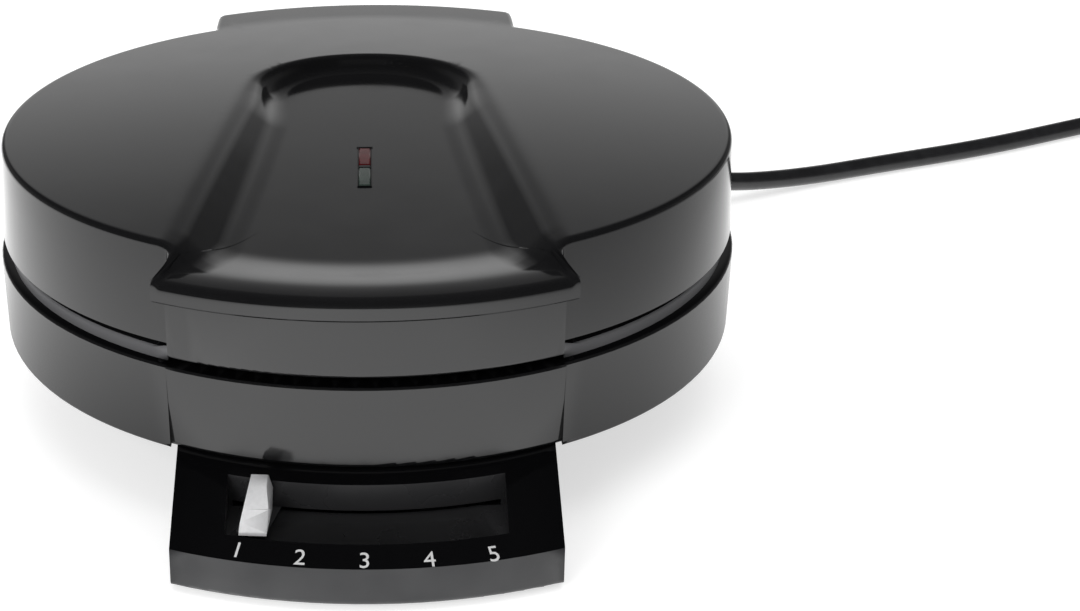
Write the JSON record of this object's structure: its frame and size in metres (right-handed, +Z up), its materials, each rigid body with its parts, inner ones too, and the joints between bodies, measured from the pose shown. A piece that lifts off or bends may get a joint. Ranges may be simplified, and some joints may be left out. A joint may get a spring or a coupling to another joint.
{
  "type": "heart waffle iron",
  "caption": "Round countertop waffle iron with a hinged domed lid, scooped front handle, heart-patterned plates, a sloping control panel with a sliding selector, pilot lights and a mains cord",
  "frame": {"origin": "centre of the footprint of the appliance without its cord, at the level of the table under the feet", "axes": "+X to the viewer's right, +Y from the front handle to the hinge, +Z up"},
  "size_m": [0.6018, 0.3955, 0.0871],
  "materials": {
    "gloss_black": "smooth glossy moulded black plastic",
    "panel_black": "highly polished black plastic",
    "grey_black": "fine matt dark grey plastic",
    "cast_black": "die-cast aluminium with a dark non-stick coating",
    "silver_knob": "satin silver plated plastic",
    "steel": "plain rolled or turned steel",
    "element_sheath": "dull grey drawn metal tube",
    "red_lens": "clear dark red lens",
    "green_lens": "clear dark green lens",
    "lamp_glass": "small clear glass tube",
    "ceramic": "unglazed cream ceramic",
    "rubber": "matt black rubber",
    "cord_black": "smooth black cord sheath",
    "nickel": "plain nickel plated pins"
  },
  "bodies": {
    "base": {"base_shell": "gloss_black", "bottom_cover": "grey_black", "control_panel": "panel_black", "thermostat": "ceramic", "thermal_cutout": "steel", "terminal_block": "ceramic", "lower_waffle_plate": "cast_black", "lower_heating_element": "element_sheath", "lower_heat_shield": "steel", "housing_screws": "steel", "hinge_pins": "steel", "rubber_feet": "rubber", "strain_relief": "cord_black", "mains_cord": "cord_black", "cord_coil": "cord_black", "plug_body": "cord_black", "plug_pins": "nickel"},
    "lid": {"lid_shell": "gloss_black", "handle_lower_shell": "gloss_black", "lid_frame": "grey_black", "upper_waffle_plate": "cast_black", "upper_heating_element": "element_sheath", "upper_heat_shield": "steel", "upper_plate_screws": "steel", "red_lens": "red_lens", "green_lens": "green_lens", "lamp_holder": "grey_black", "neon_lamps": "lamp_glass"},
    "selector": {"selector_arm": "grey_black", "selector_knob": "silver_knob", "thermostat_spindle": "steel"}
  },
  "joints": [
    {"name": "lid_hinge", "type": "hinge", "parent": "base", "child": "lid", "pos_m": [0, 0.12425, 0.0465], "axis": [-1, 0, 0], "range_deg": [0, 95]},
    {"name": "selector_turn", "type": "hinge", "parent": "base", "child": "selector", "pos_m": [0, 0.00625, 0.014], "axis": [0, 0, 1], "range_deg": [0, 27.2]}
  ]
}
